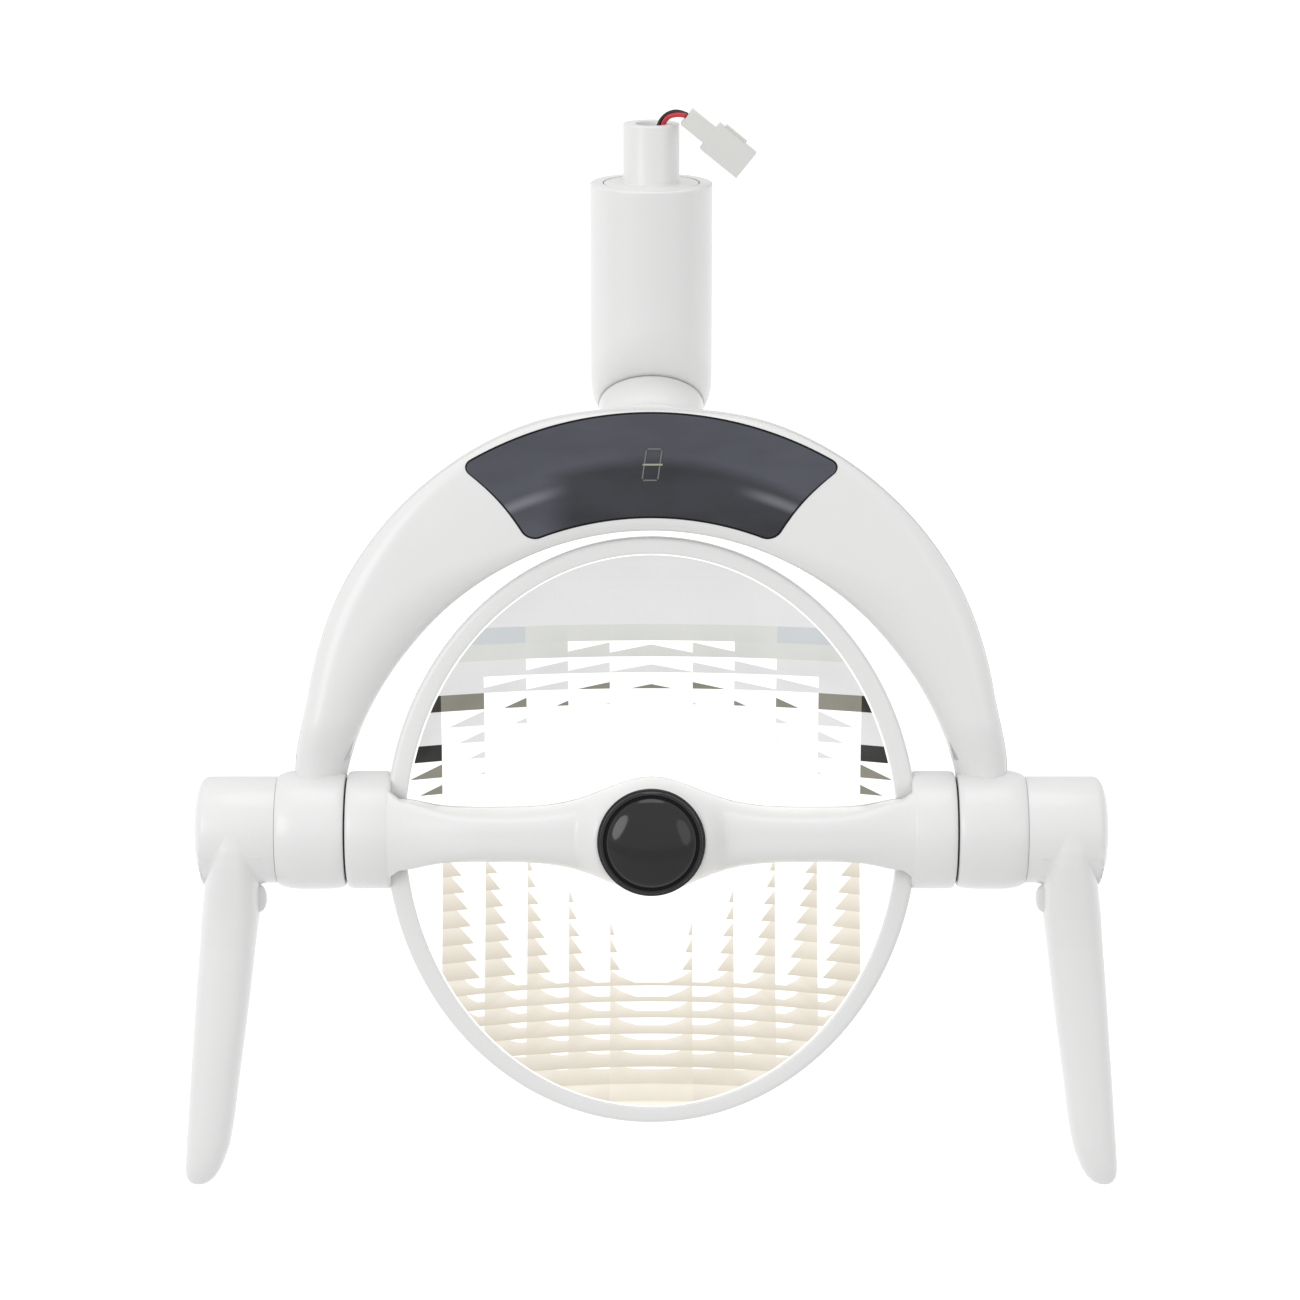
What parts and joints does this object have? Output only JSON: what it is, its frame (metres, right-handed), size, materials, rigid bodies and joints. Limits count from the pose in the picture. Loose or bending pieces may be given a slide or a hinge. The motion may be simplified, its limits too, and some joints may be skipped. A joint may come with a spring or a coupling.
{
  "type": "dental operating light",
  "caption": "Dental operating light: oval facetted reflector crossed by an LED bridge with a round black cap, tilting in a semicircular yoke with a grip at each side, hung from a short neck.",
  "frame": {"origin": "on the mounting spigot's axis, at the shoulder where the spigot leaves the neck", "axes": "+Z along the spigot, up into the arm that holds the lamp; -Y is the front, where the light comes out; +X is to the right seen from the front"},
  "size_m": [0.3668, 0.1286, 0.4116],
  "materials": {
    "white_plastic": "satin white moulded plastic",
    "steel": "turned and zinc-plated steel",
    "cast_alloy": "die-cast aluminium",
    "bush_plastic": "self-lubricating bearing plastic",
    "dark_rubber": "dark friction ring and cable bush",
    "copper": "copper-coloured spring wire",
    "red_sleeve": "red lead insulation",
    "black_sleeve": "black lead insulation",
    "connector_nylon": "white nylon connector housing",
    "contact_metal": "tinned contacts",
    "smoked_window": "dark smoked gloss window",
    "circuit_board": "green circuit board",
    "display_black": "dark display module with pale segments",
    "mirror": "vacuum-metallised facetted reflector",
    "led_ceramic": "white LED board",
    "led_lens": "clear silicone LED dome, pale warm white",
    "black_gloss": "glossy black cap"
  },
  "bodies": {
    "stem": {"mounting_spigot": "white_plastic", "wave_washer": "steel", "retaining_nut": "steel", "cable_bush": "dark_rubber", "contact_spring": "copper", "wire_red": "red_sleeve", "wire_black": "black_sleeve", "lead_connector": "connector_nylon", "connector_pins": "contact_metal"},
    "neck": {"neck_core": "cast_alloy", "swivel_bush": "bush_plastic", "diagonal_bush": "bush_plastic", "neck_front_shell": "white_plastic", "neck_rear_shell": "white_plastic", "neck_screws": "steel"},
    "yoke": {"diagonal_shaft": "steel", "diagonal_spring_washer": "steel", "diagonal_nut": "steel", "yoke_frame": "cast_alloy", "yoke_front_cover": "white_plastic", "yoke_rear_cover": "white_plastic", "yoke_screws": "steel", "control_window": "smoked_window", "display_board": "circuit_board", "digit_display": "display_black", "left_ear_bush": "bush_plastic", "right_ear_bush": "bush_plastic", "left_friction_washer": "dark_rubber", "right_friction_washer": "dark_rubber"},
    "head": {"head_frame": "cast_alloy", "left_tilt_shaft": "steel", "right_tilt_shaft": "steel", "rear_housing": "white_plastic", "housing_screws": "steel", "reflector": "mirror", "bezel_ring": "white_plastic", "bridge_cover": "white_plastic", "bridge_heat_plate": "cast_alloy", "led_board": "led_ceramic", "led_emitters": "led_lens", "sensor_board": "circuit_board", "cap_trim_ring": "black_gloss", "sensor_cap": "black_gloss", "driver_board": "circuit_board", "left_hub": "white_plastic", "right_hub": "white_plastic", "left_hub_cap": "white_plastic", "right_hub_cap": "white_plastic", "hub_bolts": "steel", "left_grip_stem": "steel", "right_grip_stem": "steel", "left_grip": "white_plastic", "right_grip": "white_plastic", "left_button_spring": "steel", "right_button_spring": "steel"},
    "left_button": {"left_release_button": "white_plastic"},
    "right_button": {"right_release_button": "white_plastic"}
  },
  "joints": [
    {"name": "neck_swivel", "type": "hinge", "parent": "stem", "child": "neck", "pos_m": [0, 0, 0], "axis": [0, 0, 1], "range_deg": [-150, 150]},
    {"name": "diagonal_swivel", "type": "hinge", "parent": "neck", "child": "yoke", "pos_m": [0, 0, -0.088], "axis": [0, 0.7071, 0.7071], "range_deg": [-40, 40]},
    {"name": "head_tilt", "type": "hinge", "parent": "yoke", "child": "head", "pos_m": [0, -0.063, -0.244], "axis": [1, 0, 0], "range_deg": [-40, 90]},
    {"name": "left_button_push", "type": "slide", "parent": "head", "child": "left_button", "axis": [-1, 0, 0], "range_m": [0, 0.0015], "stiffness_N_per_m": 600, "springref_m": -0.0015, "deforming": ["left_button_spring"]},
    {"name": "right_button_push", "type": "slide", "parent": "head", "child": "right_button", "axis": [1, 0, 0], "range_m": [0, 0.0015], "stiffness_N_per_m": 600, "springref_m": -0.0015, "deforming": ["right_button_spring"]}
  ]
}
